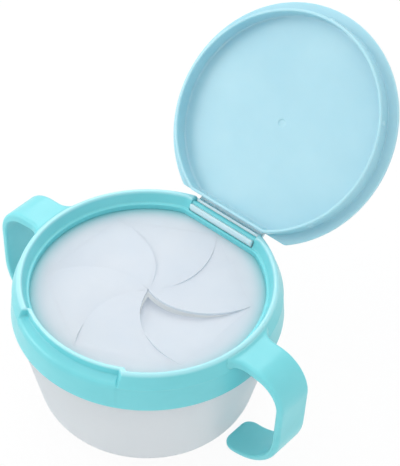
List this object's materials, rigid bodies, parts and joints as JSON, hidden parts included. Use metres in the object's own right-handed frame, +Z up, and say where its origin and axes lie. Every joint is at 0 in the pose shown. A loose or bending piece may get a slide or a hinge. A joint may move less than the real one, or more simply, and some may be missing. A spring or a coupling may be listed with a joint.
{
  "type": "toddler snack container",
  "caption": "Round snack bowl with a screw-on two-handled collar, a soft slit membrane a small hand reaches through, and a clip-on flip lid.",
  "frame": {"origin": "middle of the bowl's flat resting face, on the table", "axes": "+Z up along the bowl's axis; +Y towards the lid's hinge; the thumb notch faces -Y and the handles stand out along +X and -X"},
  "size_m": [0.1544, 0.1755, 0.1374],
  "materials": {
    "bowl_plastic": "frosted translucent",
    "collar_plastic": "satin",
    "membrane": "matte, slightly translucent",
    "lid_plastic": "satin, slightly translucent"
  },
  "bodies": {
    "bowl": {"bowl": "bowl_plastic"},
    "membrane": {"membrane_rim": "membrane"},
    "collar": {"collar": "collar_plastic", "left_handle": "collar_plastic", "right_handle": "collar_plastic"},
    "lid": {"lid": "lid_plastic"},
    "petal_1": {"petal_1": "membrane"},
    "petal_2": {"petal_2": "membrane"},
    "petal_3": {"petal_3": "membrane"},
    "petal_4": {"petal_4": "membrane"},
    "petal_5": {"petal_5": "membrane"},
    "petal_6": {"petal_6": "membrane"}
  },
  "joints": [
    {"name": "membrane_lift", "type": "slide", "parent": "bowl", "child": "membrane", "axis": [0, 0, 1], "range_m": [0, 0.004]},
    {"name": "collar_turn", "type": "hinge", "parent": "membrane", "child": "collar", "pos_m": [0, 0, 0], "axis": [0, 0, 1], "range_deg": [0, 120]},
    {"name": "lid_close", "type": "hinge", "parent": "collar", "child": "lid", "pos_m": [0, 0.048, 0.065], "axis": [1, 0, 0], "range_deg": [0, 133]},
    {"name": "petal_1_bend", "type": "hinge", "parent": "membrane", "child": "petal_1", "pos_m": [0.03724, 0, 0.0598], "axis": [0, -1, 0], "range_deg": [-45, 75], "stiffness_Nm_per_rad": 0.02},
    {"name": "petal_2_bend", "type": "hinge", "parent": "membrane", "child": "petal_2", "pos_m": [0.01862, 0.03225, 0.0598], "axis": [0.866, -0.5, 0], "range_deg": [-45, 75], "stiffness_Nm_per_rad": 0.02},
    {"name": "petal_3_bend", "type": "hinge", "parent": "membrane", "child": "petal_3", "pos_m": [-0.01862, 0.03225, 0.0598], "axis": [0.866, 0.5, 0], "range_deg": [-45, 75], "stiffness_Nm_per_rad": 0.02},
    {"name": "petal_4_bend", "type": "hinge", "parent": "membrane", "child": "petal_4", "pos_m": [-0.03724, 0, 0.0598], "axis": [0, 1, 0], "range_deg": [-45, 75], "stiffness_Nm_per_rad": 0.02},
    {"name": "petal_5_bend", "type": "hinge", "parent": "membrane", "child": "petal_5", "pos_m": [-0.01862, -0.03225, 0.0598], "axis": [-0.866, 0.5, 0], "range_deg": [-45, 75], "stiffness_Nm_per_rad": 0.02},
    {"name": "petal_6_bend", "type": "hinge", "parent": "membrane", "child": "petal_6", "pos_m": [0.01862, -0.03225, 0.0598], "axis": [-0.866, -0.5, 0], "range_deg": [-45, 75], "stiffness_Nm_per_rad": 0.02}
  ],
  "couplings": [
    {"joint": "membrane_lift", "follows": "collar_turn", "m_per_rad": 0.0019}
  ]
}
